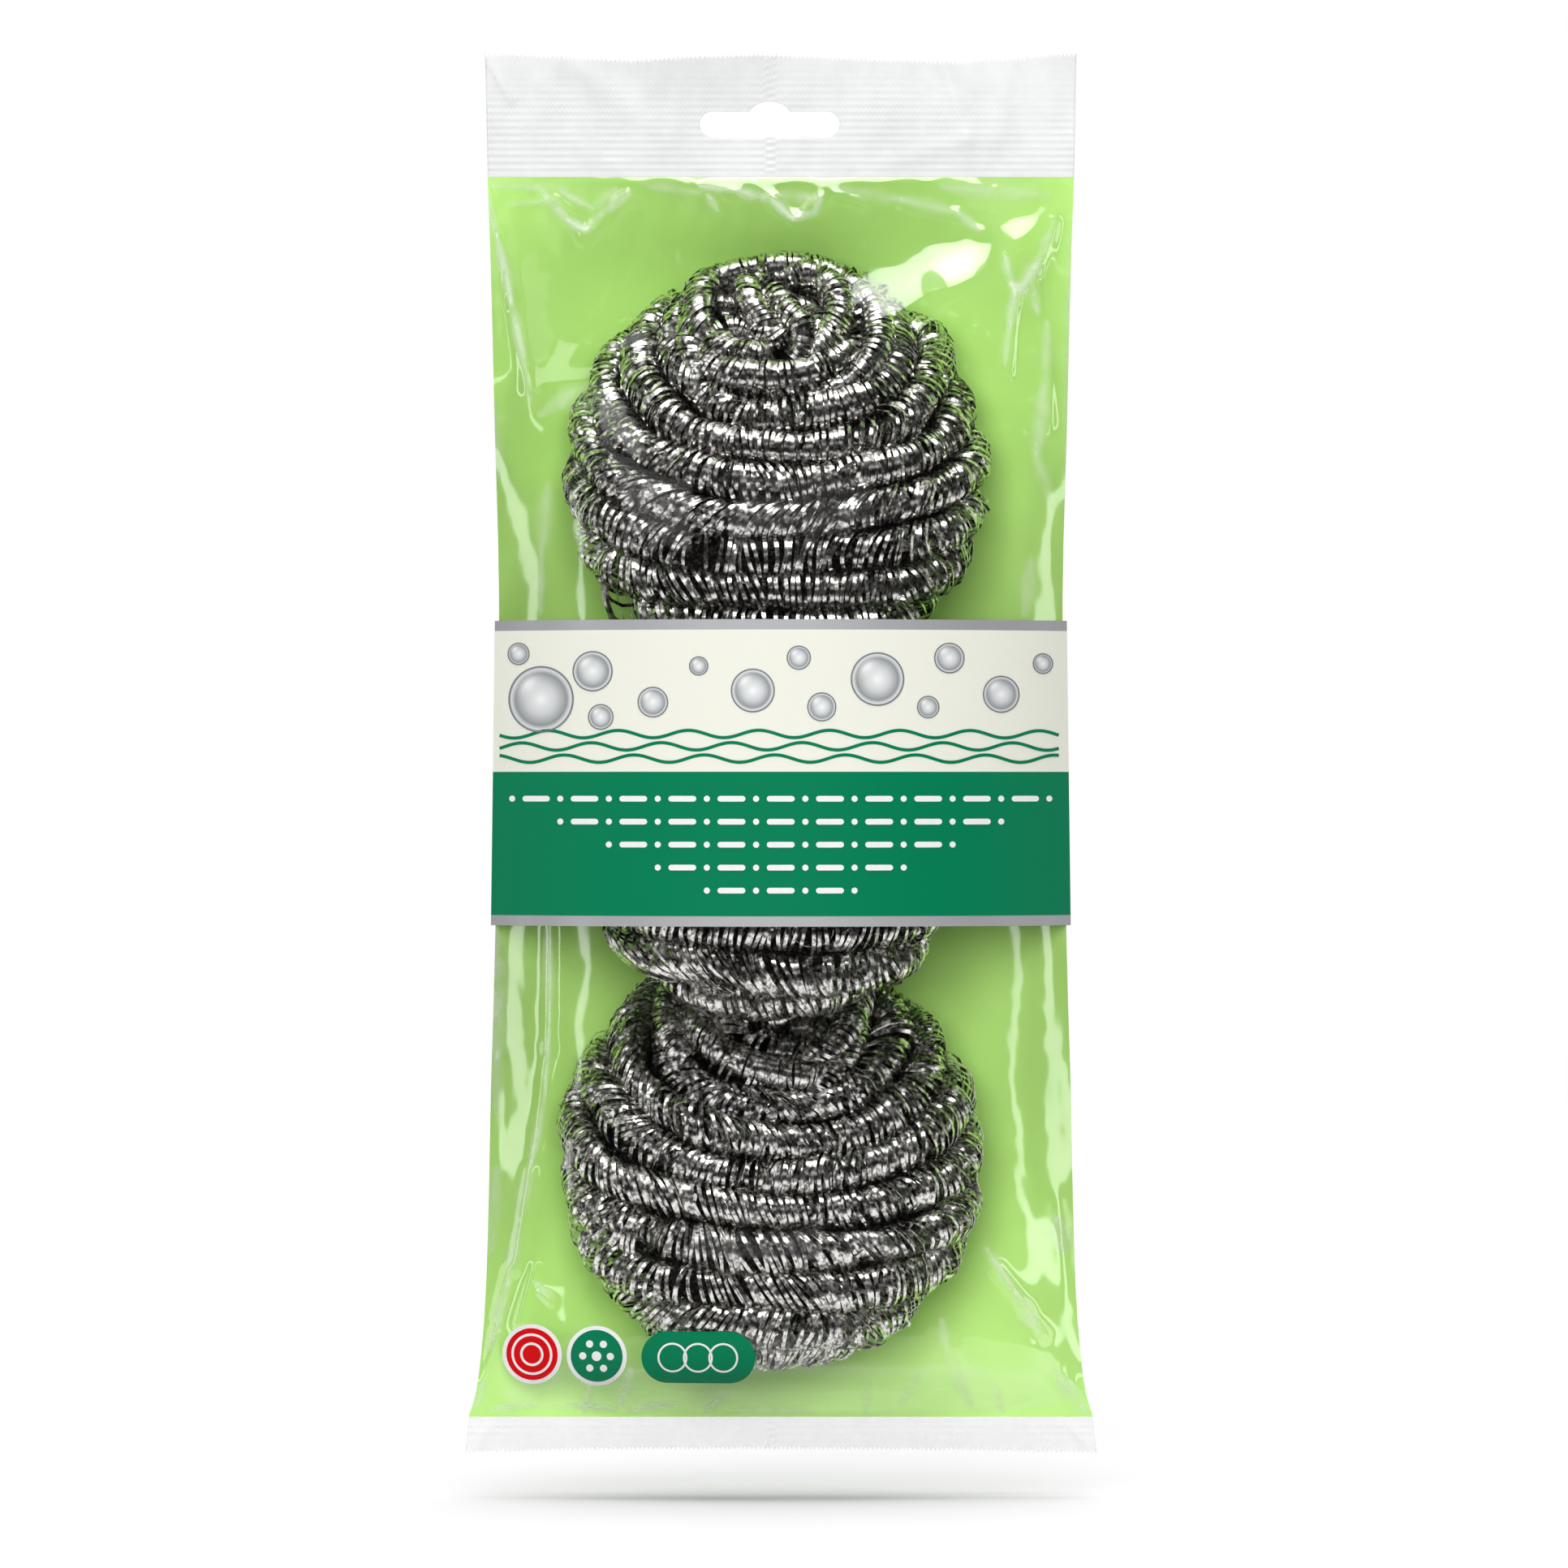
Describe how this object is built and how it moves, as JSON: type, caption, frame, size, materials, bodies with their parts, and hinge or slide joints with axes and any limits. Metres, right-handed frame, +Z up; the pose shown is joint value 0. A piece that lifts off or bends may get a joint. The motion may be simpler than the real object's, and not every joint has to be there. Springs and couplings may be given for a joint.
{
  "type": "pot scrubber",
  "caption": "Hanging film pack of coiled stainless steel pot scrubbers, with crimped header and foot seals, a euro hang slot and a card band that slides on the bag.",
  "frame": {"origin": "middle of the hang slot, on the middle plane of the flat header", "axes": "+Z up the hanging pack, -Y its front, +X to the right seen from the front"},
  "size_m": [0.1296, 0.0522, 0.2875],
  "materials": {
    "clear_film": "clear heat-sealed film",
    "printed_film": "film printed light green on its inner side",
    "card": "printed coated card, cream over dark green with silver edges",
    "steel_ribbon": "bright flat stainless ribbon coiled into a rope",
    "steel_core": "packed inner turns of the same ribbon",
    "steel_wire": "plain stainless wire"
  },
  "bodies": {
    "header_flap": {"header": "clear_film"},
    "bag": {"front_film": "clear_film", "back_film": "printed_film", "back_seam": "printed_film", "top_scrubber_rope": "steel_ribbon", "top_scrubber_core": "steel_core", "top_scrubber_tie": "steel_wire", "middle_scrubber_rope": "steel_ribbon", "middle_scrubber_core": "steel_core", "middle_scrubber_tie": "steel_wire", "bottom_scrubber_rope": "steel_ribbon", "bottom_scrubber_core": "steel_core", "bottom_scrubber_tie": "steel_wire"},
    "band": {"card_band": "card"},
    "foot_flap": {"foot": "clear_film"}
  },
  "joints": [
    {"name": "header_fold", "type": "hinge", "parent": "header_flap", "child": "bag", "pos_m": [0.0023, 0, -0.0109], "axis": [1, 0, 0], "range_deg": [-90, 90]},
    {"name": "band_slide", "type": "slide", "parent": "bag", "child": "band", "axis": [0, 0, 1], "range_m": [-0.004, 0.012]},
    {"name": "foot_fold", "type": "hinge", "parent": "bag", "child": "foot_flap", "pos_m": [0.0023, 0, -0.26543], "axis": [1, 0, 0], "range_deg": [-90, 90]}
  ]
}
